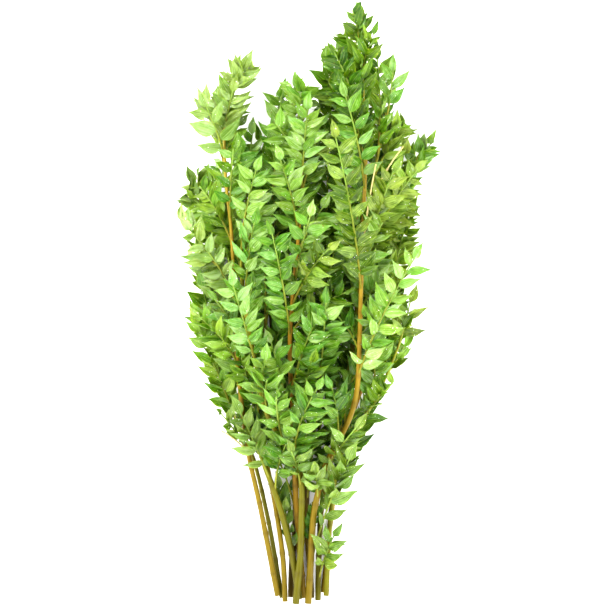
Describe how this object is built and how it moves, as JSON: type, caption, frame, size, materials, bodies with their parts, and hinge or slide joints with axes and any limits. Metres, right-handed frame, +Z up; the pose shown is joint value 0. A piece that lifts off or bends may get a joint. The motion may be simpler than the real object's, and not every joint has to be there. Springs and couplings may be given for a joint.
{
  "type": "dried ruscus bunch",
  "caption": "Gathered bunch of preserved green ruscus stems lying flat, with bare woody lower ends and long leafy sprays of pointed oval leaves.",
  "frame": {"origin": "on the surface that the bunch lies on, under the middle of its box", "axes": "+Y from the cut ends to the leafy tips, +X to the right as seen from above with the tips away from the viewer, +Z up off the surface"},
  "size_m": [0.3232, 0.7275, 0.1477],
  "materials": {
    "wood_ochre": "satin dried green bark",
    "wood_olive": "satin dried green bark",
    "wood_orange": "satin dried green bark",
    "wood_dark": "satin dried green bark",
    "wood_straw": "satin dried green bark",
    "leaf_leaf": "soft satin preserved leaf",
    "leaf_light": "soft satin preserved leaf",
    "leaf_deep": "soft satin preserved leaf",
    "leaf_grey": "soft satin preserved leaf",
    "leaf_lime": "soft satin preserved leaf"
  },
  "bodies": {
    "root": {"stem_01_outer_left": "wood_ochre", "stem_02_low_left": "wood_olive", "stem_03_left_middle": "wood_ochre", "stem_04_thick_left": "wood_olive", "stem_05_back_left": "wood_dark", "stem_06_front": "wood_olive", "stem_07_centre": "wood_orange", "stem_08_right_front": "wood_ochre", "stem_09_back_centre": "wood_dark", "stem_10_right_middle": "wood_olive", "stem_11_low_right": "wood_orange", "stem_12_outer_right": "wood_straw", "spray_01_top": "leaf_grey", "spray_01_left_tip": "leaf_grey", "spray_01_inner": "leaf_leaf", "spray_01_low": "leaf_grey", "spray_01_outer": "leaf_grey", "spray_02_top": "leaf_grey", "spray_02_outer": "leaf_deep", "spray_02_low": "leaf_deep", "spray_03_top": "leaf_leaf", "spray_03_left": "leaf_deep", "spray_03_low": "leaf_deep", "spray_04_top": "leaf_leaf", "spray_04_middle": "leaf_leaf", "spray_04_upper": "leaf_leaf", "spray_04_low": "leaf_grey", "spray_05_top": "leaf_deep", "spray_06_top": "leaf_light", "spray_06_front": "leaf_light", "spray_06_right": "leaf_leaf", "spray_06_left": "leaf_leaf", "spray_07_top": "leaf_light", "spray_07_right_tip": "leaf_light", "spray_07_upper": "leaf_light", "spray_07_front": "leaf_lime", "spray_07_left": "leaf_leaf", "spray_07_left_tip": "leaf_light", "spray_07_middle": "leaf_leaf", "spray_07_low": "leaf_deep", "spray_08_top": "leaf_deep", "spray_08_front": "leaf_lime", "spray_08_right": "leaf_light", "spray_08_low": "leaf_grey", "spray_08_left_tip": "leaf_leaf", "spray_09_top": "leaf_deep", "spray_09_front": "leaf_leaf", "spray_09_right": "leaf_deep", "spray_09_low": "leaf_deep", "spray_10_top": "leaf_leaf", "spray_10_upper": "leaf_deep", "spray_10_right": "leaf_lime", "spray_11_top": "leaf_light", "spray_11_upper": "leaf_lime", "spray_11_inner": "leaf_leaf", "spray_11_outer": "leaf_lime", "spray_11_low": "leaf_deep", "spray_12_top": "leaf_lime", "spray_12_low": "leaf_deep", "spray_12_inner": "leaf_light"}
  },
  "joints": []
}
